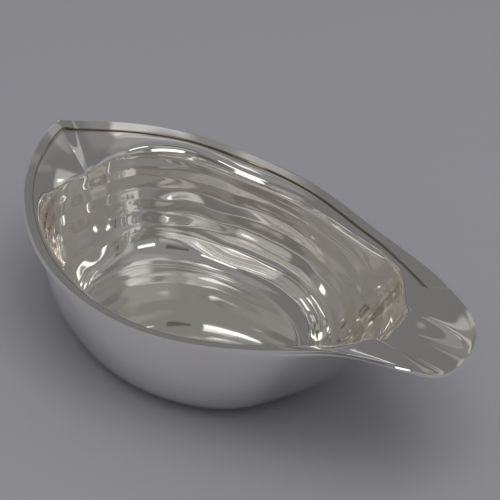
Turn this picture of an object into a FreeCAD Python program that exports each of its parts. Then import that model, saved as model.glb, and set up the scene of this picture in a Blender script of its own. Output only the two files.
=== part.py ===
"""Pap boat, a small feeding boat of silver.

The bowl, its everted flange and its spout are raised from one sheet. Two flat strips are
soldered round the top of the flange, one on each side, mitred together at the stern.

Millimetres. X runs towards the spout, Z is up and Y = 0 is the plane of symmetry. The
origin is the middle of the flat foot that the boat rests on.
"""
import FreeCAD, Part
import math
import os

Vector = FreeCAD.Vector

# Sheet, wall, flange, strips and the main places of the rim
PLAIN_SIZES = [
    ("SheetThickness", 0.7, "silver sheet of bowl, flange and spout"),
    ("FootLength", 55.0, "flat oval that the boat rests on, along X"),
    ("FootWidth", 40.0, "the same oval, along Y"),
    ("SideWallAngle", 94.0, "slope of the wall under the flange, degrees; over 90 it bulges"),
    ("BowWallAngle", 50.0, "slope of the wall under the spout, degrees"),
    ("SideWallPull", 0.48, "how far the side wall keeps its slope, share of its height"),
    ("BowWallPull", 0.5, "the same under the spout"),
    ("SideFloorPull", 0.6, "how far the floor runs out level at the sides, share of its reach"),
    ("BowFloorPull", 0.25, "the same under the spout"),
    ("BowNarrowness", 6.0, "how quickly the bow wall turns into the side wall"),
    ("BendFlangePull", 0.6, "how far the flange keeps its slope inside the strip, share of its reach"),
    ("BowFlangePull", 0.88, "the same where the flange widens into the spout"),
    ("BendWallPull", 0.6, "how far the wall keeps its slope into the bend, share of its rise"),
    ("SternSoftDrop", 2.0, "how much flatter than the rim's peak the flange runs behind it"),
    ("SternSoftAngle", 160.0, "bearing from which the flange no longer follows the peak, degrees"),
    ("SternFallAngle", 130.0, "bearing from which its slope eases over to the stern's, degrees"),
    ("StripWidth", 2.1, "applied strip, along stern and sides"),
    ("StripEndWidth", 3.4, "the same strip where it ends on the spout"),
    ("StripWidenAngle", 40.0, "bearing from the foot at which the strip starts to widen, degrees"),
    ("StripThickness", 0.5, "applied strip, stern to spout"),
    ("StripEndThickness", 0.12, "the same strip, filed thin where it ends"),
    ("StripTaperAngle", 4.0, "bearing over which it is filed thin, degrees"),
    ("StripEndAngle", 14.0, "bearing at which the strip ends on the spout, degrees"),
    ("StripBevel", 0.15, "flat on the outer top edge of the strip"),
    ("SternAlong", -43.0, "stern corner, along X"),
    ("BeamAlong", 5.5, "widest place of the rim, along X"),
    ("TipAlong", 76.85, "tip of the spout, along X"),
    ("BeamHalfWidth", 33.2, "half width of the rim at its widest place"),
    ("LipHalfWidth", 9.3, "half width of the spout's lip"),
    ("SternHeight", 37.4, "stern corner, above the table"),
    ("SideHeight", 27.6, "lowest place of the rim, above the table"),
    ("LipHeight", 33.2, "tip of the spout, above the table"),
]

# Places that the rim passes on one side, from stern to tip. Each is measured along X, outwards
# and upwards from a named size; near the middle plane the half width is measured from the plane.
RIM_STATIONS = [
    ("SternCorner", "SternAlong", 0.0, None, 0.0, "SternHeight", 0.0),
    ("SternShoulder", "SternAlong", -0.3, None, 2.8, "SternHeight", -1.4),
    ("SternRound", "SternAlong", 3.4, None, 11.6, "SternHeight", -4.0),
    ("SternQuarter", "SternAlong", 16.5, "BeamHalfWidth", -9.1, "SternHeight", -6.5),
    ("AftSide", "SternAlong", 30.2, "BeamHalfWidth", -2.7, "SideHeight", 0.9),
    ("Beam", "BeamAlong", 0.0, "BeamHalfWidth", 0.0, "SideHeight", 0.0),
    ("ForeSide", "BeamAlong", 20.0, "BeamHalfWidth", -3.3, "SideHeight", 0.7),
    ("SpoutRoot", "TipAlong", -26.85, "LipHalfWidth", 11.6, "LipHeight", 0.8),
    ("SpoutSide", "TipAlong", -15.25, "LipHalfWidth", 6.2, "LipHeight", 4.0),
    ("LipShoulder", "TipAlong", -2.45, "LipHalfWidth", 0.0, "LipHeight", 3.4),
    ("LipRound", "TipAlong", -0.1, None, 4.8, "LipHeight", 1.2),
    ("LipTip", "TipAlong", 0.0, None, 0.0, "LipHeight", 0.0),
]

# Flange at some of those places: how far the wall top lies inside the rim and how far below,
# and how steeply the flange falls inwards right at the rim
FLANGE_STATIONS = [
    ("SternCorner", 9.0, 10.0, 0.85),
    ("SternRound", 6.6, 6.8, 0.7),
    ("SternQuarter", 4.2, 5.6, 0.4),
    ("AftSide", 4.9, 4.3, 0.25),
    ("Beam", 4.6, 4.2, 0.2),
    ("ForeSide", 4.5, 4.2, 0.2),
    ("SpoutRoot", 6.7, 6.4, 0.3),
    ("SpoutSide", 12.0, 8.2, 0.4),
    ("LipTip", 19.0, 3.1, 0.06),
]

SPLINE_SPREAD = 0.7  # power of the chord that spaces the splines' parameters
HALF_COLUMNS = 36  # profiles on one side, closest together at stern and tip
SEAT_POINTS = 61  # places on one side at which the strip's width is set off from the rim
SEARCH_STEPS = 48
SEWING_TOLERANCE = 0.001

# Turn round the boat, which starts at the stern and passes the left side first
TURN_AT_TIP = math.pi
TURN_AT_STERN = 2.0 * math.pi


def make_sheet(document):
    """Spreadsheet with one named cell for each size."""
    sheet = document.addObject("Spreadsheet::Sheet", "Sizes")
    rows = list(PLAIN_SIZES)
    for name, along, ahead, beside, out, over, up in RIM_STATIONS:
        rows.append((name + "Ahead", ahead, "rim place, along X from " + along))
        rows.append((name + "Out", out, "rim place, outwards from " + (beside or "the middle plane")))
        rows.append((name + "Up", up, "rim place, upwards from " + over))
    for name, width, drop, fall in FLANGE_STATIONS:
        rows.append((name + "Flange", width, "rim to wall top, towards the middle"))
        rows.append((name + "Drop", drop, "rim to wall top, downwards"))
        rows.append((name + "Fall", fall, "fall of the flange at the rim, for each mm inwards"))
    for number, (alias, value, meaning) in enumerate(rows, start=1):
        sheet.set("A%d" % number, alias)
        sheet.set("B%d" % number, str(value))
        sheet.set("C%d" % number, meaning)
        sheet.setAlias("B%d" % number, alias)
    document.recompute()
    return sheet


def blend(start, end, share):
    """Value that goes from start to end as share goes from 0 to 1."""
    return start + (end - start) * share


def smooth_step(value):
    """0 below 0, 1 above 1 and an even S curve between."""
    value = min(max(value, 0.0), 1.0)
    return value * value * (3.0 - 2.0 * value)


def spline_through(points, closed):
    """Smooth curve through points; the parameters grow with a power of each chord."""
    course = points + points[:1] if closed else points
    parameters = [0.0]
    for start, end in zip(course, course[1:]):
        parameters.append(parameters[-1] + (end - start).Length ** SPLINE_SPREAD)
    curve = Part.BSplineCurve()
    curve.interpolate(Points=points, PeriodicFlag=closed, Parameters=parameters)
    return curve


def mirrored(points):
    """The same points on the other side of the plane of symmetry."""
    return [Vector(point.x, -point.y, point.z) for point in points]


def rim_points(sheet):
    """Outer edge of the flange on the left side, stern to tip."""
    points = []
    for name, along, _, beside, _, over, _ in RIM_STATIONS:
        half_width = getattr(sheet, beside) if beside else 0.0
        points.append(Vector(
            getattr(sheet, along) + getattr(sheet, name + "Ahead"),
            half_width + getattr(sheet, name + "Out"),
            getattr(sheet, over) + getattr(sheet, name + "Up")))
    return points


def wall_top_points(sheet, rim):
    """Top of the bowl's wall on the left side, stern to bow, set in and down from the rim."""
    names = [station[0] for station in RIM_STATIONS]
    points = []
    for name, *_ in FLANGE_STATIONS:
        edge = rim[names.index(name)]
        radius = math.hypot(edge.x, edge.y)
        share = (radius - getattr(sheet, name + "Flange")) / radius
        points.append(Vector(edge.x * share, edge.y * share, edge.z - getattr(sheet, name + "Drop")))
    return points


def bearing_of(point):
    """Direction of a point from the middle of the foot, from 0 at the spout to pi at the stern."""
    return math.atan2(point.y, point.x)


def fall_curve(sheet, rim):
    """Fall of the flange at the rim, as the height of a curve round a unit circle."""
    names = [station[0] for station in RIM_STATIONS]
    left = []
    for name, *_ in FLANGE_STATIONS:
        bearing = bearing_of(rim[names.index(name)])
        left.append(Vector(math.cos(bearing), math.sin(bearing), getattr(sheet, name + "Fall")))
    turns = [TURN_AT_TIP - bearing_of(point) for point in left]
    turns += [TURN_AT_STERN - turn for turn in turns[-2::-1]]
    curve = Part.BSplineCurve()
    curve.interpolate(Points=left + mirrored(left[-2:0:-1]), PeriodicFlag=True, Parameters=turns)
    return curve


def point_at(curve, bearing):
    """Radius and height of a curve where it crosses a bearing on the left side."""
    low = curve.FirstParameter
    high = (curve.FirstParameter + curve.LastParameter) / 2.0
    for _ in range(SEARCH_STEPS):
        middle = (low + high) / 2.0
        point = curve.value(middle)
        if bearing_of(point) > bearing:
            low = middle
        else:
            high = middle
    point = curve.value(low)
    return math.hypot(point.x, point.y), point.z


class Hull:
    """Shape of the sheet, as one outline for each bearing from the middle of the foot."""

    def __init__(self, sheet):
        self.sheet = sheet
        rim = rim_points(sheet)
        wall_top = wall_top_points(sheet, rim)
        self.rim = spline_through(rim + mirrored(rim[-2::-1]), False)
        self.wall_top = spline_through(wall_top + mirrored(wall_top[-2:0:-1]), True)
        self.fall = fall_curve(sheet, rim)
        self.strip_end = math.radians(sheet.StripEndAngle)
        seat = self.seat_points()
        self.seat = spline_through(seat + mirrored(seat[-2::-1]), False)
        self.soft_angle = math.radians(sheet.SternSoftAngle)
        soft = [seat[0] - Vector(0.0, 0.0, sheet.SternSoftDrop)]
        soft += [point for point in seat if bearing_of(point) < self.soft_angle]
        self.soft_seat = spline_through(soft + mirrored(soft[-2:0:-1]), True)
        steps = range(HALF_COLUMNS + 1)
        course = [math.pi * (1.0 + math.cos(math.pi * step / HALF_COLUMNS)) / 2.0 for step in steps]
        nearest = min(steps, key=lambda step: abs(course[step] - self.strip_end))
        course[nearest] = self.strip_end
        self.course = course
        self.turns = [TURN_AT_TIP - bearing for bearing in course]
        self.turns += [TURN_AT_TIP + bearing for bearing in course[-2::-1]]

    def seat_points(self):
        """Inner edge of the strip's seat on the left side, set off square to the rim."""
        start = self.rim.FirstParameter
        end = (start + self.rim.LastParameter) / 2.0
        points = []
        for number in range(SEAT_POINTS):
            place = blend(start, end, number / (SEAT_POINTS - 1))
            edge = self.rim.value(place)
            along, = self.rim.tangent(place)
            turn = TURN_AT_TIP - bearing_of(edge)
            fall = self.fall.value(turn).z
            run = self.strip_width(bearing_of(edge)) / math.hypot(1.0, fall)
            level = run / math.hypot(along.x, along.y)
            points.append(edge + Vector(along.y * level, -along.x * level, -fall * run))
        for end_point in (points[0], points[-1]):
            end_point.y = 0.0
        return points

    def strip_width(self, bearing):
        """Width of the strip at a bearing, held beyond the strip's end."""
        sheet = self.sheet
        start = math.radians(sheet.StripWidenAngle)
        share = smooth_step((start - bearing) / (start - self.strip_end))
        return blend(sheet.StripWidth, sheet.StripEndWidth, share)

    def strip_thickness(self, bearing):
        """Thickness of the strip at a bearing, filed thin towards its end."""
        sheet = self.sheet
        share = smooth_step((bearing - self.strip_end) / math.radians(sheet.StripTaperAngle))
        return blend(sheet.StripEndThickness, sheet.StripThickness, share)

    def upper_line(self, bearing):
        """Poles of the sheet's upper face as (radius, height) pairs, from the rim to the floor.

        They are the rim, the inner edge of the strip, two poles that shape the bend, the top
        of the wall, two poles that shape the wall, and the edge of the flat floor.
        """
        sheet = self.sheet
        rim_r, rim_z = point_at(self.rim, bearing)
        seat_r, seat_z = point_at(self.seat, bearing)
        top_r, top_z = point_at(self.wall_top, bearing)
        half_long = sheet.FootLength / 2.0
        half_wide = sheet.FootWidth / 2.0
        foot_r = half_long * half_wide / math.hypot(
            half_wide * math.cos(bearing), half_long * math.sin(bearing))
        floor_z = sheet.SheetThickness
        bow = max(math.cos(bearing), 0.0) ** sheet.BowNarrowness
        slope = math.radians(blend(sheet.SideWallAngle, sheet.BowWallAngle, bow))
        soft_r, soft_z = point_at(self.soft_seat, bearing)
        eased = math.radians(sheet.SternFallAngle)
        fall = blend((seat_z - rim_z) / (seat_r - rim_r), self.fall.value(TURN_AT_TIP - bearing).z,
                     smooth_step((bearing - eased) / (self.soft_angle - eased)))
        flange_r = blend(soft_r, top_r, blend(sheet.BendFlangePull, sheet.BowFlangePull, bow))
        bend_z = blend(top_z, soft_z + fall * (top_r - soft_r), sheet.BendWallPull)
        wall_pull = blend(sheet.SideWallPull, sheet.BowWallPull, bow) * (top_z - floor_z)
        floor_pull = blend(sheet.SideFloorPull, sheet.BowFloorPull, bow) * (top_r - foot_r)
        return [
            (rim_r, rim_z),
            (seat_r, seat_z),
            (flange_r, soft_z + fall * (flange_r - soft_r)),
            (top_r + (bend_z - top_z) / math.tan(slope), bend_z),
            (top_r, top_z),
            (top_r - wall_pull * math.cos(slope), top_z - wall_pull * math.sin(slope)),
            (foot_r + floor_pull, floor_z),
            (foot_r, floor_z),
        ]

    def under_line(self, bearing):
        """Poles of the sheet's under face, from the rim to the edge of the foot."""
        return set_off(self.upper_line(bearing), -self.sheet.SheetThickness)

    def strip_line(self, bearing):
        """Corners of the strip's section: inner foot, inner top, crown, shoulder, outer foot."""
        outer_foot, inner_foot = seat = self.upper_line(bearing)[:2]
        thickness = self.strip_thickness(bearing)
        bevel = min(self.sheet.StripBevel, thickness / 2.0)
        outer_top, inner_top = set_off(seat, thickness)
        share = bevel / math.dist(outer_top, inner_top)
        crown = (blend(outer_top[0], inner_top[0], share), blend(outer_top[1], inner_top[1], share))
        shoulder = set_off(seat, thickness - bevel)[0]
        return [inner_foot, inner_top, crown, shoulder, outer_foot]

    def curves(self, outline):
        """Smooth curves all round the boat, one through each corner of the outlines."""
        left = [[placed(bearing, pair) for pair in outline(bearing)] for bearing in self.course]
        for point in left[0] + left[-1]:
            point.y = 0.0
        columns = left + [mirrored(column) for column in left[-2::-1]]
        return [self.curve_through(row) for row in zip(*columns)]

    def curve_through(self, row):
        """Smooth curve through one point for each turn, open at the stern."""
        curve = Part.BSplineCurve()
        curve.interpolate(Points=list(row), Parameters=self.turns)
        return curve


def set_off(line, distance):
    """Line of (radius, height) pairs moved square to its legs, upwards where it runs inwards."""
    normals = []
    for (radius, height), (next_radius, next_height) in zip(line, line[1:]):
        length = math.hypot(next_radius - radius, next_height - height)
        normals.append(((next_height - height) / length, (radius - next_radius) / length))
    moved = []
    for (radius, height), before, after in zip(line, normals[:1] + normals, normals + normals[-1:]):
        shift = distance / (1.0 + before[0] * after[0] + before[1] * after[1])
        moved.append((radius + shift * (before[0] + after[0]), height + shift * (before[1] + after[1])))
    return moved


def placed(bearing, pair):
    """Point in space of a (radius, height) pair on a bearing."""
    return Vector(pair[0] * math.cos(bearing), pair[0] * math.sin(bearing), pair[1])


def skin(curves):
    """Surface that runs along these curves, with a Bezier curve across them as its section."""
    first = curves[0]
    degree = len(curves) - 1
    surface = Part.BSplineSurface()
    surface.buildFromPolesMultsKnots(
        [list(poles) for poles in zip(*[curve.getPoles() for curve in curves])],
        first.getMultiplicities(), [degree + 1, degree + 1],
        first.getKnots(), [0.0, 1.0],
        False, False, first.Degree, degree)
    return surface


def face_pair(curves):
    """Left and right face of the surface that runs along these curves."""
    surface = skin(curves)
    return [
        surface.toShape(0.0, TURN_AT_TIP, 0.0, 1.0),
        surface.toShape(TURN_AT_TIP, TURN_AT_STERN, 0.0, 1.0),
    ]


def flat_face(curve):
    """Level face inside a curve that goes round the boat."""
    return Part.Face(Part.Wire([
        curve.toShape(0.0, TURN_AT_TIP),
        curve.toShape(TURN_AT_TIP, TURN_AT_STERN),
    ]))


def closed_solid(faces):
    """Solid bounded by faces that meet edge to edge."""
    skin_of_solid = Part.makeCompound(faces)
    skin_of_solid.sewShape(SEWING_TOLERANCE)
    solid = Part.makeSolid(Part.Shell(skin_of_solid.Faces))
    if solid.Volume < 0.0:
        solid.reverse()
    return solid


def bowl_shape(hull):
    """Bowl, flange and spout: one sheet with a flat floor and a flat foot."""
    upper = hull.curves(hull.upper_line)
    under = hull.curves(hull.under_line)
    faces = face_pair([upper[0], under[0]])
    for curves in (upper, under):
        faces += face_pair(curves[0:2])
        faces += face_pair(curves[1:5])
        faces += face_pair(curves[4:8])
        faces.append(flat_face(curves[-1]))
    return closed_solid(faces)


def strip_shape(hull):
    """Left rim strip: a flat bar that lies on the flange, bevelled on its outer top edge."""
    end_turn = TURN_AT_TIP - hull.strip_end
    curves = hull.curves(hull.strip_line)
    faces = []
    for start, end in zip(curves, curves[1:] + curves[:1]):
        faces.append(skin([start, end]).toShape(0.0, end_turn, 0.0, 1.0))
    for turn in (0.0, end_turn):
        corners = [curve.value(turn) for curve in curves]
        faces.append(Part.Face(Part.makePolygon(corners + corners[:1])))
    return closed_solid(faces)


def add_piece(document, name, shape):
    """Named piece of the boat, in place."""
    piece = document.addObject("Part::Feature", name)
    piece.Label = name
    piece.Shape = shape
    piece.Placement = FreeCAD.Placement()
    return piece


def add_mirror(document, name, source):
    """Named piece that is another one seen in the plane of symmetry."""
    piece = document.addObject("Part::Mirroring", name)
    piece.Label = name
    piece.Source = source
    piece.Base = Vector(0.0, 0.0, 0.0)
    piece.Normal = Vector(0.0, 1.0, 0.0)
    return piece


def check_pieces(document, pieces):
    """Stop before anything is written if an object failed or a shape is not sound."""
    for item in document.Objects:
        if "Invalid" in item.State or "Error" in item.State:
            raise RuntimeError("%s failed: %s" % (item.Name, item.State))
    for piece in pieces:
        shape = piece.Shape
        if shape.isNull() or not shape.isValid() or len(shape.Solids) != 1:
            raise RuntimeError("%s is not one sound solid" % piece.Label)


def main():
    document = FreeCAD.newDocument("PapBoat")
    sheet = make_sheet(document)
    hull = Hull(sheet)
    bowl = add_piece(document, "bowl_with_spout", bowl_shape(hull))
    left_strip = add_piece(document, "rim_strip_left", strip_shape(hull))
    right_strip = add_mirror(document, "rim_strip_right", left_strip)
    document.recompute()
    pieces = [bowl, left_strip, right_strip]
    check_pieces(document, pieces)
    os.makedirs("parts", exist_ok=True)
    for piece in pieces:
        piece.Shape.exportStep("parts/%s.step" % piece.Label)
        box = piece.Shape.BoundBox
        print("%s volume %.1f mm3, X %.2f to %.2f, Y %.2f to %.2f, Z %.2f to %.2f" % (
            piece.Label, piece.Shape.Volume, box.XMin, box.XMax, box.YMin, box.YMax, box.ZMin, box.ZMax))


main()
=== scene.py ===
"""Looks of a silver pap boat: its bowl, its two rim strips and a plain studio.

Metres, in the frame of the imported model. X runs towards the spout, Z is up, Y = 0 is the
plane of symmetry and the flat foot rests at Z = 0. The tables of places are in millimetres.
"""
import math

import bpy
import numpy as np
from mathutils import Matrix, Vector


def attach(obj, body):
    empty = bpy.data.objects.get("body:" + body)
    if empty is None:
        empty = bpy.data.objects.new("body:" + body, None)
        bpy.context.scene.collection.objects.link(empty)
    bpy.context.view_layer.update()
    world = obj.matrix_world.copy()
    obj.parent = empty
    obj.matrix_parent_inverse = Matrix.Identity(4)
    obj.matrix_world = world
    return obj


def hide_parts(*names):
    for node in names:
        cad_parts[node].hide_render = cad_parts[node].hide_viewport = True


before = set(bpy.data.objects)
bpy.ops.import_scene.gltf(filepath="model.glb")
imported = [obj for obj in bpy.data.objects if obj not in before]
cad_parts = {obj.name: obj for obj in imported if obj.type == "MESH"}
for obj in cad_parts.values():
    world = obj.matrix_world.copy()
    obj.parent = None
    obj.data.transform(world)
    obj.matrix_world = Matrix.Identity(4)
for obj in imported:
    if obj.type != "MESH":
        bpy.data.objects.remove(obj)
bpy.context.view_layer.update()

bl_info = {
    "name": "Pap Boat",
    "version": (1, 0, 0),
    "blender": (4, 5, 0),
    "location": "3D View > Sidebar > Pap Boat",
    "description": "Silver pap boat with applied rim strips, and a plain studio",
    "category": "Object",
}

BODY = "root"
MM = 0.001

# Rim on the left side, stern to tip: place along X, half width and height above the table
RIM_STATIONS = [
    ("stern_corner", -43.0, 0.0, 37.4),
    ("stern_shoulder", -43.3, 2.8, 36.0),
    ("stern_round", -39.6, 11.6, 33.4),
    ("stern_quarter", -26.5, 24.1, 30.9),
    ("aft_side", -12.8, 30.5, 28.5),
    ("beam", 5.5, 33.2, 27.6),
    ("fore_side", 25.5, 29.9, 28.3),
    ("spout_root", 50.0, 20.9, 34.0),
    ("spout_side", 61.6, 15.5, 37.2),
    ("lip_shoulder", 74.4, 9.3, 36.6),
    ("lip_round", 76.75, 4.8, 34.4),
    ("lip_tip", 76.85, 0.0, 33.2),
]

# Flange at some of them: how far inside the rim the wall top lies, how far below it, and
# how steeply the flange falls inwards right at the rim
FLANGE_STATIONS = [
    ("stern_corner", 9.0, 10.0, 0.85),
    ("stern_round", 6.6, 6.8, 0.7),
    ("stern_quarter", 4.2, 5.6, 0.4),
    ("aft_side", 4.9, 4.3, 0.25),
    ("beam", 4.6, 4.2, 0.2),
    ("fore_side", 4.5, 4.2, 0.2),
    ("spout_root", 6.7, 6.4, 0.3),
    ("spout_side", 12.0, 8.2, 0.4),
    ("lip_tip", 19.0, 3.1, 0.06),
]

SEAT_STEPS = 4  # quads of a section of the bowl across the strip's seat
WALL_TOP = 22  # quads of a section down to the wall top
WALL_STEPS = 44  # quads of a section from there to the foot
STRIP_STEPS = 8  # quads across a strip
STEP_SHADE_REACH = 0.0004  # how far the painted shade of a strip's step runs out over the flange
SPLINE_SPREAD = 0.7  # power of the chord that spaces the splines' parameters
TANGENT_STEP = 1e-6  # share of a spline's parameters over which its direction is measured
SEAT_POINTS = 61  # points that the curve of the strip's inner edge is drawn through
SEARCH_STEPS = 48  # halvings in the search for the place of a curve on a bearing
EDGE_SEGMENTS = 3  # steps of a worn edge
EDGE_ANGLE = math.radians(50.0)  # edges sharper than this are worn

# Soft boxes and dark screens round the boat: bearing from +X and height in degrees as seen
# from it, half width, half height and softness of the edges as tangents, and the change in
# level that each makes
STUDIO_BOXES = [
    ("low_front_box", 306.0, 3.0, 0.20, 0.15, 0.03, 1.6),
    ("front_pane", 330.0, 26.5, 0.17, 0.03, 0.01, 1.2),
    ("far_pane", 53.0, 24.5, 0.07, 0.05, 0.015, 0.9),
    ("window_upright", 259.0, 16.0, 0.07, 0.26, 0.015, 1.3),
    ("window_head", 262.0, 30.5, 0.17, 0.05, 0.015, 1.2),
    ("right_of_window_box", 301.0, 20.0, 0.22, 0.07, 0.03, 0.14),
    ("front_wall", 310.0, 45.0, 1.10, 0.50, 0.10, 0.065),
    ("left_wall_low", 243.0, 8.0, 0.16, 0.22, 0.05, 0.14),
    ("tall_left_box", 226.0, 49.0, 0.18, 0.16, 0.04, 0.09),
    ("upper_left_box", 241.0, 63.0, 0.10, 0.07, 0.03, 0.8),
    ("top_left_box", 235.0, 71.0, 0.28, 0.06, 0.04, 0.22),
    ("near_right_box", 336.0, 6.0, 0.20, 0.14, 0.04, 0.18),
    ("spout_side_box", 22.0, 20.0, 0.62, 0.18, 0.10, 0.15),
    ("far_right_box", 53.0, 22.0, 0.16, 0.30, 0.04, 0.22),
    ("far_bar", 84.0, 39.0, 0.20, 0.055, 0.02, 0.05),
    ("far_high_bar", 96.0, 49.0, 0.24, 0.07, 0.03, 0.08),
    ("back_box", 150.0, 58.0, 0.16, 0.12, 0.05, 0.16),
    ("top_back_box", 180.0, 64.0, 0.34, 0.18, 0.08, 0.055),
    ("back_low_box", 126.0, 1.0, 0.12, 0.03, 0.01, 0.5),
    ("ceiling_box", 50.0, 79.0, 0.22, 0.14, 0.05, 0.33),
    ("ceiling_edge_box", 338.0, 71.0, 0.24, 0.09, 0.05, 0.2),
    ("ceiling_back_box", 275.0, 75.0, 0.14, 0.08, 0.03, 0.12),
    ("upper_room", 40.0, 75.0, 0.90, 0.42, 0.15, 0.06),
    ("dark_screen", 276.0, 16.0, 0.16, 0.16, 0.04, -0.08),
    ("dark_head", 297.0, 29.0, 0.17, 0.04, 0.02, -0.13),
]

# Lamps that light the floor: name, place, size and the studio setting with its power
LAMPS = [
    ("table_lamp", (0.36, -0.14, 0.9), 0.6, "lamp_power"),
    ("room_lamp", (0.0, 0.0, 1.6), 4.0, "room_power"),
]


class BowlSizes(bpy.types.PropertyGroup):
    """Sizes of the bowl, its flange and its spout"""
    sheet: bpy.props.FloatProperty(
        name="Sheet", description="Thickness of the silver sheet",
        default=0.0007, min=0.0003, unit="LENGTH")
    foot_long: bpy.props.FloatProperty(
        name="Foot length", description="Length of the flat oval that the boat rests on",
        default=0.055, unit="LENGTH")
    foot_wide: bpy.props.FloatProperty(
        name="Foot width", description="Width of the same oval",
        default=0.040, unit="LENGTH")
    side_slope: bpy.props.FloatProperty(
        name="Side wall slope", description="Slope of the wall under the flange; over 90 degrees it bulges",
        default=math.radians(94.0), subtype="ANGLE")
    bow_slope: bpy.props.FloatProperty(
        name="Bow wall slope", description="Slope of the wall under the spout",
        default=math.radians(50.0), subtype="ANGLE")
    side_pull: bpy.props.FloatProperty(
        name="Side wall pull", description="How far the side wall keeps its slope",
        default=0.48, subtype="FACTOR")
    bow_pull: bpy.props.FloatProperty(
        name="Bow wall pull", description="How far the bow wall keeps its slope",
        default=0.5, subtype="FACTOR")
    side_floor: bpy.props.FloatProperty(
        name="Side floor", description="How far the floor runs out level at the sides",
        default=0.6, subtype="FACTOR")
    bow_floor: bpy.props.FloatProperty(
        name="Bow floor", description="How far the floor runs out level under the spout",
        default=0.25, subtype="FACTOR")
    bow_narrow: bpy.props.FloatProperty(
        name="Bow narrowness", description="How quickly the bow wall turns into the side wall", default=6.0)
    flange_pull: bpy.props.FloatProperty(
        name="Flange pull", description="How far the flange keeps its slope inside the strip",
        default=0.6, subtype="FACTOR")
    spout_pull: bpy.props.FloatProperty(
        name="Spout pull", description="The same where the flange widens into the spout",
        default=0.88, subtype="FACTOR")
    wall_pull: bpy.props.FloatProperty(
        name="Bend pull", description="How far the wall keeps its slope into the bend",
        default=0.6, subtype="FACTOR")
    soft_drop: bpy.props.FloatProperty(
        name="Peak drop", description="How much flatter than the rim's peak the flange runs behind it",
        default=0.002, unit="LENGTH")
    soft_bearing: bpy.props.FloatProperty(
        name="Peak bearing", description="Bearing from which the flange no longer follows the peak",
        default=math.radians(160.0), subtype="ANGLE")
    fall_bearing: bpy.props.FloatProperty(
        name="Stern bearing", description="Bearing from which the flange eases over to the stern's slope",
        default=math.radians(130.0), subtype="ANGLE")
    edge_round: bpy.props.FloatProperty(
        name="Edge rounding", description="Worn edge of the sheet", default=0.00018, unit="LENGTH")
    half_columns: bpy.props.IntProperty(
        name="Columns", description="Sections on one side of the bowl", default=240, min=24)


class StripSizes(bpy.types.PropertyGroup):
    """Sizes of the strips soldered round the top of the flange"""
    width: bpy.props.FloatProperty(
        name="Width", description="Width along stern and sides", default=0.0021, unit="LENGTH")
    end_width: bpy.props.FloatProperty(
        name="End width", description="Width where a strip ends on the spout",
        default=0.0034, unit="LENGTH")
    widen: bpy.props.FloatProperty(
        name="Widening bearing", description="Bearing from the foot at which a strip starts to widen",
        default=math.radians(40.0), subtype="ANGLE")
    thickness: bpy.props.FloatProperty(
        name="Thickness", description="Thickness from the stern to the spout",
        default=0.0005, unit="LENGTH")
    end_share: bpy.props.FloatProperty(
        name="Filed end", description="Share of the thickness left at the filed end",
        default=0.08, subtype="FACTOR")
    end: bpy.props.FloatProperty(
        name="End bearing", description="Bearing from the foot at which a strip ends",
        default=math.radians(14.0), subtype="ANGLE")
    taper: bpy.props.FloatProperty(
        name="Filed length", description="Bearing over which a strip is filed thin",
        default=math.radians(4.0), subtype="ANGLE")
    edge_round: bpy.props.FloatProperty(
        name="Edge rounding", description="Worn edges of the strip", default=0.00012, unit="LENGTH")
    half_columns: bpy.props.IntProperty(
        name="Columns", description="Sections along one strip", default=300, min=24)


class SilverLooks(bpy.types.PropertyGroup):
    """Colour and polish of the silver"""
    color: bpy.props.FloatVectorProperty(
        name="Silver", description="Colour of clean silver",
        default=(0.95, 0.937, 0.908), subtype="COLOR", min=0.0, max=1.0)
    tarnish: bpy.props.FloatVectorProperty(
        name="Tarnish", description="Colour of the thin film left by age",
        default=(0.88, 0.80, 0.68), subtype="COLOR", min=0.0, max=1.0)


class StudioLooks(bpy.types.PropertyGroup):
    """Camera, floor and light"""
    azimuth: bpy.props.FloatProperty(
        name="Azimuth", description="Camera's turn round the boat from the right side",
        default=math.radians(45.0), subtype="ANGLE")
    elevation: bpy.props.FloatProperty(
        name="Elevation", description="Camera's angle above the table",
        default=math.radians(36.0), subtype="ANGLE")
    eye: bpy.props.FloatVectorProperty(
        name="Eye", description="Where the camera stands", default=(0.29109, -0.27178, 0.31225),
        subtype="TRANSLATION")
    lens: bpy.props.FloatProperty(
        name="Lens", description="Focal length in millimetres on a 36 mm sensor", default=159.84)
    floor_color: bpy.props.FloatVectorProperty(
        name="Floor", description="Colour of the floor",
        default=(0.30, 0.30, 0.325), subtype="COLOR", min=0.0, max=1.0)
    level: bpy.props.FloatProperty(
        name="Room level", description="Light of the room between the soft boxes", default=0.17)
    lamp_power: bpy.props.FloatProperty(
        name="Lamp", description="Power of the lamp over the table, in watts", default=3.2)
    room_power: bpy.props.FloatProperty(
        name="Room light", description="Power of the wide dim light over it, in watts", default=23.0)


def blend(start, end, share):
    """Value that goes from start to end as share goes from 0 to 1."""
    return start + (end - start) * share


def smooth_step(value):
    """0 below 0, 1 above 1 and an even S curve between."""
    value = np.clip(value, 0.0, 1.0)
    return value * value * (3.0 - 2.0 * value)


def mirrored(points):
    """The same points on the other side of the plane of symmetry."""
    return [(x, -y, z) for x, y, z in points]


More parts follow.
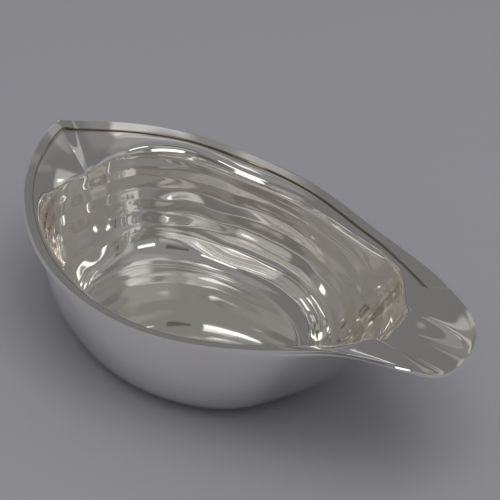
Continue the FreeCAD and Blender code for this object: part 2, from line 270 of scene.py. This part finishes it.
class Spline:
    """Cubic curve through points; its parameters grow with a power of each chord."""

    def __init__(self, points, closed=False, params=None):
        points = np.asarray(points, float)
        if closed:
            points = np.vstack([points, points[:1]])
        if params is None:
            steps = np.linalg.norm(np.diff(points, axis=0), axis=1) ** SPLINE_SPREAD
            params = np.concatenate([[0.0], np.cumsum(steps)])
        self.params = params
        self.points = points
        self.slopes = self.solve(closed)

    def solve(self, closed):
        """Slope at each point that makes the curve smooth."""
        gap = np.diff(self.params)
        rise = np.diff(self.points, axis=0) / gap[:, None]
        count = len(self.params)
        matrix = np.zeros((count, count))
        right = np.zeros_like(self.points)
        for i in range(1, count - 1):
            matrix[i, i - 1:i + 2] = gap[i], 2.0 * (gap[i - 1] + gap[i]), gap[i - 1]
            right[i] = 3.0 * (gap[i] * rise[i - 1] + gap[i - 1] * rise[i])
        if closed:
            matrix[0, 0], matrix[0, -1] = 1.0, -1.0
            matrix[-1, -2], matrix[-1, 1] = gap[0], gap[-1]
            matrix[-1, 0] = 2.0 * (gap[-1] + gap[0])
            right[-1] = 3.0 * (gap[0] * rise[-1] + gap[-1] * rise[0])
        else:
            span = gap[0] + gap[1]
            matrix[0, 0:2] = gap[1], span
            right[0] = ((gap[0] + 2.0 * span) * gap[1] * rise[0] + gap[0] ** 2 * rise[1]) / span
            span = gap[-1] + gap[-2]
            matrix[-1, -2:] = span, gap[-2]
            right[-1] = (gap[-1] ** 2 * rise[-2] + (2.0 * span + gap[-1]) * gap[-2] * rise[-1]) / span
        return np.linalg.solve(matrix, right)

    def __call__(self, places):
        places = np.atleast_1d(np.asarray(places, float))
        i = np.clip(np.searchsorted(self.params, places, side="right") - 1, 0, len(self.params) - 2)
        gap = (self.params[i + 1] - self.params[i])[:, None]
        share = (places - self.params[i])[:, None] / gap
        left = 1.0 - share
        start, end = self.points[i], self.points[i + 1]
        start_slope, end_slope = self.slopes[i] * gap, self.slopes[i + 1] * gap
        return (start * (1.0 + 2.0 * share) * left ** 2 + start_slope * share * left ** 2
                + end * share ** 2 * (3.0 - 2.0 * share) - end_slope * share ** 2 * left)

    def tangent(self, places):
        """Direction of the curve."""
        step = (self.params[-1] - self.params[0]) * TANGENT_STEP
        return (self(places + step) - self(places - step)) / (2.0 * step)

    def at_bearing(self, bearing):
        """Radius and height where the left half crosses each bearing."""
        low = np.full(len(bearing), self.params[0])
        high = np.full(len(bearing), self.params[-1] / 2.0)
        for _ in range(SEARCH_STEPS):
            middle = (low + high) / 2.0
            point = self(middle)
            before = np.arctan2(point[:, 1], point[:, 0]) > bearing
            low = np.where(before, middle, low)
            high = np.where(before, high, middle)
        point = self(low)
        return np.hypot(point[:, 0], point[:, 1]), point[:, 2]


class Hull:
    """Shape of the sheet's upper face, as one section for each bearing from the foot's middle."""

    def __init__(self, bowl, strip):
        self.bowl = bowl
        self.strip = strip
        rim = [tuple(MM * size for size in station[1:]) for station in RIM_STATIONS]
        names = [station[0] for station in RIM_STATIONS]
        wall_top, turns, falls = [], [], []
        for name, inset, drop, fall in FLANGE_STATIONS:
            x, y, z = rim[names.index(name)]
            share = 1.0 - MM * inset / math.hypot(x, y)
            wall_top.append((x * share, y * share, z - MM * drop))
            turns.append(math.pi - math.atan2(y, x))
            falls.append((fall,))
        self.rim = Spline(rim + mirrored(rim[-2::-1]))
        self.wall_top = Spline(wall_top + mirrored(wall_top[-2:0:-1]), closed=True)
        turns += [2.0 * math.pi - turn for turn in turns[-2::-1]]
        self.fall = Spline(falls + falls[-2:0:-1], closed=True, params=np.array(turns))
        seat = self.seat_points()
        self.seat = Spline(seat + mirrored(seat[-2::-1]))
        x, y, z = seat[0]
        soft = [(x, y, z - bowl.soft_drop)]
        soft += [point for point in seat if math.atan2(point[1], point[0]) < bowl.soft_bearing]
        self.soft_seat = Spline(soft + mirrored(soft[-2:0:-1]), closed=True)

    def seat_points(self):
        """Inner edge of the strip's seat on the left side, set off square to the rim."""
        places = np.linspace(0.0, self.rim.params[-1] / 2.0, SEAT_POINTS)
        edge, along = self.rim(places), self.rim.tangent(places)
        bearing = np.arctan2(edge[:, 1], edge[:, 0])
        widened = smooth_step((self.strip.widen - bearing) / (self.strip.widen - self.strip.end))
        fall = self.fall(math.pi - bearing)[:, 0]
        run = blend(self.strip.width, self.strip.end_width, widened) / np.hypot(1.0, fall)
        level = run / np.hypot(along[:, 0], along[:, 1])
        points = edge + np.stack([along[:, 1] * level, -along[:, 0] * level, -fall * run], 1)
        points[[0, -1], 1] = 0.0
        return [tuple(point) for point in points]

    def poles(self, bearing):
        """Poles of the sections (bearing, pole, radius and height), from the rim to the floor."""
        bowl = self.bowl
        rim_r, rim_z = self.rim.at_bearing(bearing)
        seat_r, seat_z = self.seat.at_bearing(bearing)
        top_r, top_z = self.wall_top.at_bearing(bearing)
        half_long, half_wide = bowl.foot_long / 2.0, bowl.foot_wide / 2.0
        foot_r = half_long * half_wide / np.hypot(
            half_wide * np.cos(bearing), half_long * np.sin(bearing))
        floor_z = np.full_like(foot_r, bowl.sheet)
        bow = np.maximum(np.cos(bearing), 0.0) ** bowl.bow_narrow
        slope = blend(bowl.side_slope, bowl.bow_slope, bow)
        soft_r, soft_z = self.soft_seat.at_bearing(bearing)
        fall = blend((seat_z - rim_z) / (seat_r - rim_r), self.fall(math.pi - bearing)[:, 0],
                     smooth_step((bearing - bowl.fall_bearing) / (bowl.soft_bearing - bowl.fall_bearing)))
        flange_r = blend(soft_r, top_r, blend(bowl.flange_pull, bowl.spout_pull, bow))
        bend_z = blend(top_z, soft_z + fall * (top_r - soft_r), bowl.wall_pull)
        wall_pull = blend(bowl.side_pull, bowl.bow_pull, bow) * (top_z - floor_z)
        floor_pull = blend(bowl.side_floor, bowl.bow_floor, bow) * (top_r - foot_r)
        poles = [
            (rim_r, rim_z),
            (seat_r, seat_z),
            (flange_r, soft_z + fall * (flange_r - soft_r)),
            (top_r + (bend_z - top_z) / np.tan(slope), bend_z),
            (top_r, top_z),
            (top_r - wall_pull * np.cos(slope), top_z - wall_pull * np.sin(slope)),
            (foot_r + floor_pull, floor_z),
            (foot_r, floor_z),
        ]
        return np.stack([np.stack(pair, -1) for pair in poles], 1)


def bezier(poles, steps):
    """Points (bearing, step, 2) along Bezier curves with poles (bearing, pole, 2)."""
    share = np.linspace(0.0, 1.0, steps + 1)
    degree = poles.shape[1] - 1
    weights = np.stack([math.comb(degree, k) * share ** k * (1.0 - share) ** (degree - k)
                        for k in range(degree + 1)])
    return np.einsum("bpc,pm->bmc", poles, weights)


def spaced_bearings(count, end):
    """Bearings on the left side from the stern to the end, closest together there and at the stern."""
    steps = np.arange(count + 1)
    return end + (math.pi - end) * (1.0 + np.cos(math.pi * steps / count)) / 2.0


def placed(bearing, line):
    """Points in space of (radius, height) pairs on each bearing."""
    return np.stack([line[..., 0] * np.cos(bearing)[:, None],
                     line[..., 0] * np.sin(bearing)[:, None], line[..., 1]], -1)


def grid_mesh(name, columns, around, down):
    """Mesh of quads between neighbouring columns of points, facing down or up."""
    count, steps, _ = columns.shape
    number = np.arange(count * steps).reshape(count, steps)
    after = np.roll(number, -1, axis=0)
    if not around:
        number, after = number[:-1], after[:-1]
    quads = np.stack([number[:, :-1], number[:, 1:], after[:, 1:], after[:, :-1]], -1).reshape(-1, 4)
    faces = quads[:, ::-1].tolist() if down else quads.tolist()
    mesh = bpy.data.meshes.new(name)
    mesh.from_pydata(columns.reshape(-1, 3).tolist(), [], faces)
    return mesh


def add_values(mesh, name, values):
    """Named value at each point of a mesh, for nodes to read."""
    attribute = mesh.attributes.new(name, "FLOAT", "POINT")
    attribute.data.foreach_set("value", np.ravel(values).astype(np.float32))


def bowl_face(hull):
    """Upper face of bowl, flange and spout, turned downwards to be thickened that way.

    Its values are the painted shade of a strip's step, 1 beside a strip, and "wall_course", the
    share of the way down the wall. In each column the points run from the rim to the middle of
    the floor.
    """
    bearing = spaced_bearings(hull.bowl.half_columns, 0.0)
    poles = hull.poles(bearing)
    middle = np.zeros_like(poles[:, :1])
    middle[..., 1] = hull.bowl.sheet
    parts = [bezier(poles[:, 0:2], SEAT_STEPS), bezier(poles[:, 1:5], WALL_TOP - SEAT_STEPS)[:, 1:],
             bezier(poles[:, 4:8], WALL_STEPS)[:, 1:], middle]
    left = placed(bearing, np.concatenate(parts, 1))
    left[[0, -1], :, 1] = 0.0
    inside = np.linalg.norm(left - left[:, SEAT_STEPS:SEAT_STEPS + 1], axis=2)
    # Painted shade: the flange just inside a strip is marked, to be darkened where the strip's step shades
    # it
    crevice = np.maximum(1.0 - inside / STEP_SHADE_REACH, 0.0) * (bearing > hull.strip.end)[:, None]
    legs = np.linalg.norm(np.diff(left[:, WALL_TOP:-1], axis=1), axis=2)
    course = np.zeros(left.shape[:2])
    course[:, WALL_TOP + 1:-1] = np.cumsum(legs, axis=1) / legs.sum(axis=1, keepdims=True)
    course[:, -1] = 1.0
    columns = np.concatenate([left, left[-2:0:-1] * np.array([1.0, -1.0, 1.0])])
    mesh = grid_mesh("bowl_face", columns, True, True)
    add_values(mesh, "crevice", np.concatenate([crevice, crevice[-2:0:-1]]))
    add_values(mesh, "wall_course", np.concatenate([course, course[-2:0:-1]]))
    return mesh


def strip_seat(hull, side):
    """Band of the flange that a strip lies on, with how much of its thickness is left unfiled."""
    strip = hull.strip
    bearing = spaced_bearings(strip.half_columns, strip.end)
    columns = placed(bearing, bezier(hull.poles(bearing)[:, 0:2], STRIP_STEPS))
    columns[0, :, 1] = 0.0
    columns[..., 1] *= side
    mesh = grid_mesh("strip_seat", columns, False, side < 0)
    unfiled = blend(strip.end_share, 1.0, smooth_step((bearing - strip.end) / strip.taper))
    # Painted shade: the strip's inner edge is marked to be darkened, as the shade at its step
    inner_edge = np.arange(STRIP_STEPS + 1) == STRIP_STEPS
    add_values(mesh, "unfiled", np.repeat(unfiled, STRIP_STEPS + 1))
    add_values(mesh, "crevice", np.tile(inner_edge, len(bearing)))
    return mesh


def add_node(tree, kind, **settings):
    """New node of a tree, with its settings."""
    node = tree.nodes.new(kind)
    for name, value in settings.items():
        setattr(node, name, value)
    return node


def math_node(tree, operation, *values):
    """Result of a calculation in a tree, from plain numbers and other nodes' results."""
    node = add_node(tree, "ShaderNodeMath", operation=operation)
    for socket, value in zip(node.inputs, values):
        if isinstance(value, float):
            socket.default_value = value
        else:
            tree.links.new(value, socket)
    return node.outputs["Value"]


def sheet_metal_tree():
    """Geometry nodes that give a face of the hull its thickness of metal and close it.

    The face that they raise is marked "far_side".
    """
    tree = bpy.data.node_groups.new("sheet_metal", "GeometryNodeTree")
    sockets = tree.interface
    sockets.new_socket("Face", in_out="INPUT", socket_type="NodeSocketGeometry")
    thickness = sockets.new_socket("Thickness", in_out="INPUT", socket_type="NodeSocketFloat")
    thickness.default_value = 0.0007
    thickness.subtype = "DISTANCE"
    share = sockets.new_socket("Share Left", in_out="INPUT", socket_type="NodeSocketFloat")
    share.default_value = 1.0
    weld = sockets.new_socket("Weld Distance", in_out="INPUT", socket_type="NodeSocketFloat")
    weld.default_value = 1e-7
    sockets.new_socket("Metal", in_out="INPUT", socket_type="NodeSocketMaterial")
    sockets.new_socket("Piece", in_out="OUTPUT", socket_type="NodeSocketGeometry")
    given = add_node(tree, "NodeGroupInput")
    made = add_node(tree, "NodeGroupOutput")
    depth = math_node(tree, "MULTIPLY", given.outputs["Thickness"], given.outputs["Share Left"])
    raised = add_node(tree, "GeometryNodeExtrudeMesh", mode="FACES")
    raised.inputs["Individual"].default_value = False
    outside = add_node(tree, "GeometryNodeStoreNamedAttribute", data_type="FLOAT", domain="FACE")
    outside.inputs["Name"].default_value = "far_side"
    back = add_node(tree, "GeometryNodeFlipFaces")
    both = add_node(tree, "GeometryNodeJoinGeometry")
    welded = add_node(tree, "GeometryNodeMergeByDistance")
    smooth = add_node(tree, "GeometryNodeSetShadeSmooth")
    real = add_node(tree, "GeometryNodeRealizeInstances")
    coated = add_node(tree, "GeometryNodeSetMaterial")
    link = tree.links.new
    link(given.outputs["Face"], raised.inputs["Mesh"])
    link(depth, raised.inputs["Offset Scale"])
    link(given.outputs["Face"], back.inputs["Mesh"])
    link(raised.outputs["Mesh"], outside.inputs["Geometry"])
    link(raised.outputs["Top"], outside.inputs["Value"])
    link(outside.outputs["Geometry"], both.inputs["Geometry"])
    link(back.outputs["Mesh"], both.inputs["Geometry"])
    link(both.outputs["Geometry"], welded.inputs["Geometry"])
    link(given.outputs["Weld Distance"], welded.inputs["Distance"])
    link(welded.outputs["Geometry"], smooth.inputs["Geometry"])
    link(smooth.outputs["Geometry"], real.inputs["Geometry"])
    link(real.outputs["Geometry"], coated.inputs["Geometry"])
    link(given.outputs["Metal"], coated.inputs["Material"])
    link(coated.outputs["Geometry"], made.inputs["Piece"])
    return tree


def made_of_sheet(name, face, tree, thickness, metal, edge_round, share_name=None):
    """Closed piece with rounded edges, made by the sheet metal nodes from one face of it."""
    base = bpy.data.objects.new(name + "_face", face)
    bpy.context.scene.collection.objects.link(base)
    nodes = base.modifiers.new("sheet_metal", "NODES")
    nodes.node_group = tree
    key = {item.name: item.identifier for item in tree.interface.items_tree if item.in_out == "INPUT"}
    nodes[key["Thickness"]] = thickness
    nodes[key["Metal"]] = metal
    if share_name:
        nodes[key["Share Left"] + "_use_attribute"] = True
        nodes[key["Share Left"] + "_attribute_name"] = share_name
    worn = base.modifiers.new("worn_edges", "BEVEL")
    worn.width = edge_round
    worn.segments = EDGE_SEGMENTS
    worn.limit_method = "ANGLE"
    worn.angle_limit = EDGE_ANGLE
    worn.use_clamp_overlap = True
    evaluated = base.evaluated_get(bpy.context.evaluated_depsgraph_get())
    mesh = bpy.data.meshes.new_from_object(evaluated)
    bpy.data.objects.remove(base)
    mesh.name = name
    piece = bpy.data.objects.new(name, mesh)
    bpy.context.scene.collection.objects.link(piece)
    return piece


def hand_polish_group():
    """Shader nodes for silver raised and polished by hand: film, painted shade beside the strips, polish
    and height of the surface.
    """
    tree = bpy.data.node_groups.new("hand_polish", "ShaderNodeTree")
    sockets = tree.interface
    for name, kind, value in [
            ("Silver", "NodeSocketColor", (0.93, 0.90, 0.85, 1.0)),
            ("Film", "NodeSocketColor", (0.84, 0.76, 0.64, 1.0)),
            ("Film Amount", "NodeSocketFloat", 0.3),
            ("Planish Size", "NodeSocketFloat", 0.012),
            ("Planish Depth", "NodeSocketFloat", 0.00001),
            ("Scratch Depth", "NodeSocketFloat", 0.000001),
            ("Polish", "NodeSocketFloat", 0.03),
            ("Dullness", "NodeSocketFloat", 0.05),
            # Where painted shade beside a strip darkens the colour
            ("Crevice", "NodeSocketFloat", 0.0),
            ("Wall Course", "NodeSocketFloat", 0.0),
            ("Far Side", "NodeSocketFloat", 0.0),
            ("Courses", "NodeSocketFloat", 4.5),
            ("Course Depth", "NodeSocketFloat", 0.000075),
            # Colour of the painted shade beside a strip
            ("Grime", "NodeSocketColor", (0.30, 0.24, 0.17, 1.0))]:
        sockets.new_socket(name, in_out="INPUT", socket_type=kind).default_value = value
    for name, kind in [("Color", "NodeSocketColor"), ("Roughness", "NodeSocketFloat"),
                       ("Height", "NodeSocketFloat")]:
        sockets.new_socket(name, in_out="OUTPUT", socket_type=kind)
    given = add_node(tree, "NodeGroupInput")
    made = add_node(tree, "NodeGroupOutput")
    place = add_node(tree, "ShaderNodeTexCoord")
    link = tree.links.new

    def noise(scale, detail, roughness, turn=None, stretch=None):
        texture = add_node(tree, "ShaderNodeTexNoise")
        if isinstance(scale, float):
            texture.inputs["Scale"].default_value = scale
        else:
            link(scale, texture.inputs["Scale"])
        texture.inputs["Detail"].default_value = detail
        texture.inputs["Roughness"].default_value = roughness
        if stretch:
            turned = add_node(tree, "ShaderNodeMapping")
            turned.inputs["Rotation"].default_value = turn
            turned.inputs["Scale"].default_value = stretch
            link(place.outputs["Object"], turned.inputs["Vector"])
            link(turned.outputs["Vector"], texture.inputs["Vector"])
        else:
            link(place.outputs["Object"], texture.inputs["Vector"])
        return texture.outputs["Fac"]

    def calculated(operation, *values):
        return math_node(tree, operation, *values)

    def ranged(value, start, end):
        node = add_node(tree, "ShaderNodeMapRange")
        node.inputs["From Min"].default_value = start
        node.inputs["From Max"].default_value = end
        link(value, node.inputs["Value"])
        return node.outputs["Result"]

    def mixed(share, color, other):
        node = add_node(tree, "ShaderNodeMix", data_type="RGBA")
        link(share, node.inputs["Factor"])
        link(color, node.inputs["A"])
        link(other, node.inputs["B"])
        return node.outputs["Result"]

    # Hammer marks left under the polish, about a centimetre across and hardly deep
    planish_scale = calculated("DIVIDE", 1.0, given.outputs["Planish Size"])
    planish = noise(planish_scale, detail=1.0, roughness=0.4)
    planish_height = calculated("MULTIPLY", planish, given.outputs["Planish Depth"])

    # Fine scratches of polishing and of use, in two directions
    coarse = noise(900.0, detail=3.0, roughness=0.6,
                   turn=(0.3, 0.2, 0.9), stretch=(1.0, 0.06, 0.3))
    fine = noise(1300.0, detail=3.0, roughness=0.6,
                 turn=(0.5, -0.4, -0.5), stretch=(0.08, 1.0, 0.4))
    coarse_scratches = ranged(coarse, start=0.56, end=0.8)
    fine_scratches = ranged(fine, start=0.6, end=0.8)
    scratches = calculated("MAXIMUM", coarse_scratches, fine_scratches)
    scratch_height = calculated("MULTIPLY", scratches, given.outputs["Scratch Depth"])

    # Courses in which the wall was raised, one above the other: ridges that waver, nearly
    # straight from crest to hollow, fading at the wall top and low on the wall, faint outside
    crest_share = 0.97  # under 1, so that crests and hollows stay a little round
    outside_loss = -0.85
    waver = noise(45.0, detail=2.0, roughness=0.5)
    wave = calculated("MULTIPLY_ADD", given.outputs["Wall Course"], given.outputs["Courses"], waver)
    sine = calculated("SINE", calculated("MULTIPLY", wave, 2.0 * math.pi))
    ridge = calculated("ARCSINE", calculated("MULTIPLY", sine, crest_share))
    top_fade = ranged(given.outputs["Wall Course"], start=0.03, end=0.12)
    foot_fade = ranged(given.outputs["Wall Course"], start=0.85, end=0.55)
    faint_outside = calculated("MULTIPLY_ADD", given.outputs["Far Side"], outside_loss, 1.0)
    strength = calculated("MULTIPLY", calculated("MULTIPLY", top_fade, foot_fade), faint_outside)
    strength = calculated("MULTIPLY", strength, given.outputs["Course Depth"])
    course_height = calculated("MULTIPLY", ridge, strength)
    smooth_height = calculated("SUBTRACT", planish_height, scratch_height)
    link(calculated("ADD", smooth_height, course_height), made.inputs["Height"])

    # Film of age in soft clouds, and painted shade in dark brown beside a strip, where its step throws a
    # shadow
    shade_share = 0.85
    clouds = ranged(noise(60.0, detail=4.0, roughness=0.6), start=0.35, end=0.75)
    film = calculated("MULTIPLY", clouds, given.outputs["Film Amount"])
    color = mixed(film, given.outputs["Silver"], given.outputs["Film"])
    painted_shade = calculated("MULTIPLY", given.outputs["Crevice"], shade_share)
    link(mixed(painted_shade, color, given.outputs["Grime"]), made.inputs["Color"])

    # Less polish where it is handled and scratched
    handled = ranged(noise(140.0, detail=5.0, roughness=0.65), start=0.4, end=0.8)
    worn = calculated("MAXIMUM", handled, scratches)
    dull = calculated("MULTIPLY", worn, given.outputs["Dullness"])
    link(calculated("ADD", given.outputs["Polish"], dull), made.inputs["Roughness"])
    return tree


def silver(name, looks, polish, **values):
    """Silver with its own depth of hammer marks, scratches and film."""
    material = bpy.data.materials.new(name)
    material.use_nodes = True
    tree = material.node_tree
    shader = tree.nodes["Principled BSDF"]
    shader.inputs["Metallic"].default_value = 1.0
    surface = add_node(tree, "ShaderNodeGroup", node_tree=polish)
    surface.inputs["Silver"].default_value = (*looks.color, 1.0)
    surface.inputs["Film"].default_value = (*looks.tarnish, 1.0)
    for key, value in values.items():
        surface.inputs[key.replace("_", " ").title()].default_value = value
    # One of these marks is the painted shade beside the strips
    for socket in ("Crevice", "Wall Course", "Far Side"):
        mark = add_node(tree, "ShaderNodeAttribute", attribute_name=socket.lower().replace(" ", "_"))
        tree.links.new(mark.outputs["Fac"], surface.inputs[socket])
    bump = add_node(tree, "ShaderNodeBump")
    bump.inputs["Distance"].default_value = 1.0
    tree.links.new(surface.outputs["Height"], bump.inputs["Height"])
    tree.links.new(surface.outputs["Color"], shader.inputs["Base Color"])
    tree.links.new(surface.outputs["Roughness"], shader.inputs["Roughness"])
    tree.links.new(bump.outputs["Normal"], shader.inputs["Normal"])
    return material


def node_group(name, build):
    """Node group of this name, built the first time that it is asked for."""
    return bpy.data.node_groups.get(name) or build()


class PAPBOAT_OT_bowl(bpy.types.Operator):
    """Make the bowl with its flange and its spout, all one sheet of silver"""
    bl_idname = "pap_boat.make_bowl"
    bl_label = "Bowl with Spout"

    def execute(self, context):
        scene = context.scene
        sizes = scene.pap_boat_bowl
        metal = silver(
            "sheet_silver", scene.pap_boat_silver, node_group("hand_polish", hand_polish_group),
            planish_depth=0.000018, scratch_depth=0.0000004, film_amount=0.22)
        piece = made_of_sheet(
            "bowl_of_silver", bowl_face(Hull(sizes, scene.pap_boat_strip)),
            node_group("sheet_metal", sheet_metal_tree), sizes.sheet, metal, sizes.edge_round)
        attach(piece, BODY)
        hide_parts("bowl_with_spout")
        return {"FINISHED"}


class PAPBOAT_OT_rim_strips(bpy.types.Operator):
    """Make the two strips on the flange, mitred together at the stern"""
    bl_idname = "pap_boat.make_rim_strips"
    bl_label = "Rim Strips"

    def execute(self, context):
        scene = context.scene
        sizes = scene.pap_boat_strip
        hull = Hull(scene.pap_boat_bowl, sizes)
        metal = silver(
            "strip_silver", scene.pap_boat_silver, node_group("hand_polish", hand_polish_group),
            planish_depth=0.000004, scratch_depth=0.0000006, film_amount=0.2)
        for name, side in (("left", 1.0), ("right", -1.0)):
            piece = made_of_sheet(
                "strip_of_silver_" + name, strip_seat(hull, side),
                node_group("sheet_metal", sheet_metal_tree), sizes.thickness, metal, sizes.edge_round,
                "unfiled")
            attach(piece, BODY)
            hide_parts("rim_strip_" + name)
        return {"FINISHED"}


def make_floor(looks):
    """Plain floor under the boat."""
    reach = 1.5
    mesh = bpy.data.meshes.new("floor")
    corners = [(-reach, -reach, 0.0), (reach, -reach, 0.0), (reach, reach, 0.0), (-reach, reach, 0.0)]
    mesh.from_pydata(corners, [], [(0, 1, 2, 3)])
    paper = bpy.data.materials.new("floor_paper")
    paper.use_nodes = True
    shader = paper.node_tree.nodes["Principled BSDF"]
    shader.inputs["Base Color"].default_value = (*looks.floor_color, 1.0)
    shader.inputs["Roughness"].default_value = 0.9
    shader.inputs["Specular IOR Level"].default_value = 0.1
    mesh.materials.append(paper)
    floor = bpy.data.objects.new("floor", mesh)
    bpy.context.scene.collection.objects.link(floor)


def make_camera(looks):
    """Camera at the photograph's angle."""
    back = Vector((math.sin(looks.azimuth) * math.cos(looks.elevation),
                   -math.cos(looks.azimuth) * math.cos(looks.elevation), math.sin(looks.elevation)))
    right = Vector((math.cos(looks.azimuth), math.sin(looks.azimuth), 0.0))
    turned = Matrix((right, back.cross(right), back)).transposed()
    data = bpy.data.cameras.new("camera")
    data.sensor_width = 36.0
    data.lens = looks.lens
    camera = bpy.data.objects.new("camera", data)
    bpy.context.scene.collection.objects.link(camera)
    camera.matrix_world = Matrix.Translation(looks.eye) @ turned.to_4x4()
    bpy.context.scene.camera = camera


def soft_box_group():
    """Shader nodes for one soft box: 1 inside it, 0 outside, by the direction looked in."""
    tree = bpy.data.node_groups.new("soft_box", "ShaderNodeTree")
    sockets = tree.interface
    for name in ("Direction", "Ahead", "Across", "Upwards"):
        sockets.new_socket(name, in_out="INPUT", socket_type="NodeSocketVector")
    for name in ("Half Width", "Half Height", "Edge"):
        sockets.new_socket(name, in_out="INPUT", socket_type="NodeSocketFloat")
    sockets.new_socket("Inside", in_out="OUTPUT", socket_type="NodeSocketFloat")
    given = add_node(tree, "NodeGroupInput")
    made = add_node(tree, "NodeGroupOutput")
    link = tree.links.new

    def along(axis):
        node = add_node(tree, "ShaderNodeVectorMath", operation="DOT_PRODUCT")
        link(given.outputs["Direction"], node.inputs[0])
        link(given.outputs[axis], node.inputs[1])
        return node.outputs["Value"]

    ahead = along("Ahead")
    least_depth = 0.01
    depth = math_node(tree, "MAXIMUM", ahead, least_depth)
    inside = math_node(tree, "GREATER_THAN", ahead, least_depth)
    for axis, half in (("Across", "Half Width"), ("Upwards", "Half Height")):
        offset = math_node(tree, "ABSOLUTE", math_node(tree, "DIVIDE", along(axis), depth))
        fade = add_node(tree, "ShaderNodeMapRange", interpolation_type="SMOOTHSTEP")
        link(offset, fade.inputs["Value"])
        for end, operation in (("From Min", "ADD"), ("From Max", "SUBTRACT")):
            limit = math_node(tree, operation, given.outputs[half], given.outputs["Edge"])
            link(limit, fade.inputs[end])
        inside = math_node(tree, "MULTIPLY", inside, fade.outputs["Result"])
    link(inside, made.inputs["Inside"])
    return tree


def make_room(looks):
    """Room of a plain level with soft boxes in it."""
    world = bpy.data.worlds.new("studio")
    bpy.context.scene.world = world
    world.use_nodes = True
    tree = world.node_tree
    group = node_group("soft_box", soft_box_group)
    place = add_node(tree, "ShaderNodeTexCoord")
    level = looks.level
    for name, bearing, height, half_wide, half_high, edge, strength in STUDIO_BOXES:
        bearing, height = math.radians(bearing), math.radians(height)
        ahead = Vector((math.cos(height) * math.cos(bearing), math.cos(height) * math.sin(bearing),
                        math.sin(height)))
        across = Vector((-math.sin(bearing), math.cos(bearing), 0.0))
        box = add_node(tree, "ShaderNodeGroup", node_tree=group, name=name, label=name)
        box.inputs["Ahead"].default_value = ahead
        box.inputs["Across"].default_value = across
        box.inputs["Upwards"].default_value = ahead.cross(across)
        box.inputs["Half Width"].default_value = half_wide
        box.inputs["Half Height"].default_value = half_high
        box.inputs["Edge"].default_value = edge
        tree.links.new(place.outputs["Generated"], box.inputs["Direction"])
        level = math_node(tree, "MULTIPLY_ADD", box.outputs["Inside"], strength, level)
    background = tree.nodes["Background"]
    background.inputs["Color"].default_value = (1.0, 1.0, 1.0, 1.0)
    tree.links.new(level, background.inputs["Strength"])


def make_lamps(looks):
    """Lamps over the table for the floor; the silver shows the soft boxes instead."""
    for name, place, size, power in LAMPS:
        light = bpy.data.lights.new(name, "AREA")
        light.energy = getattr(looks, power)
        light.size = size
        lamp = bpy.data.objects.new(name, light)
        bpy.context.scene.collection.objects.link(lamp)
        lamp.location = place
        lamp.rotation_euler = (-lamp.location).to_track_quat("-Z", "Y").to_euler()
        lamp.visible_glossy = False


class PAPBOAT_OT_studio(bpy.types.Operator):
    """Make the floor, the camera and the light"""
    bl_idname = "pap_boat.make_studio"
    bl_label = "Studio"

    def execute(self, context):
        looks = context.scene.pap_boat_studio
        make_floor(looks)
        make_camera(looks)
        make_room(looks)
        make_lamps(looks)
        context.scene.view_settings.view_transform = "Standard"
        # The polished bowl mirrors its own walls many times over
        context.scene.cycles.max_bounces = 20
        context.scene.cycles.glossy_bounces = 16
        return {"FINISHED"}


class PAPBOAT_PT_sidebar(bpy.types.Panel):
    """Sizes, looks and the buttons that make the pieces"""
    bl_idname = "PAPBOAT_PT_sidebar"
    bl_label = "Pap Boat"
    bl_space_type = "VIEW_3D"
    bl_region_type = "UI"
    bl_category = "Pap Boat"

    def draw(self, context):
        for group, operator in PANEL_ROWS:
            column = self.layout.column(align=True)
            settings = getattr(context.scene, group)
            for name in settings.bl_rna.properties.keys():
                if name not in ("rna_type", "name"):
                    column.prop(settings, name)
            if operator:
                column.operator(operator.bl_idname)


SETTINGS = {
    "pap_boat_bowl": BowlSizes,
    "pap_boat_strip": StripSizes,
    "pap_boat_silver": SilverLooks,
    "pap_boat_studio": StudioLooks,
}
PANEL_ROWS = [
    ("pap_boat_silver", None),
    ("pap_boat_bowl", PAPBOAT_OT_bowl),
    ("pap_boat_strip", PAPBOAT_OT_rim_strips),
    ("pap_boat_studio", PAPBOAT_OT_studio),
]
CLASSES = [
    *SETTINGS.values(), PAPBOAT_OT_bowl, PAPBOAT_OT_rim_strips, PAPBOAT_OT_studio,
    PAPBOAT_PT_sidebar,
]


def register():
    for item in CLASSES:
        bpy.utils.register_class(item)
    for name, group in SETTINGS.items():
        setattr(bpy.types.Scene, name, bpy.props.PointerProperty(type=group))


def unregister():
    for name in SETTINGS:
        delattr(bpy.types.Scene, name)
    for item in reversed(CLASSES):
        bpy.utils.unregister_class(item)


def main():
    register()
    bpy.ops.pap_boat.make_bowl()
    bpy.ops.pap_boat.make_rim_strips()
    bpy.ops.pap_boat.make_studio()


if __name__ == "__main__":
    main()
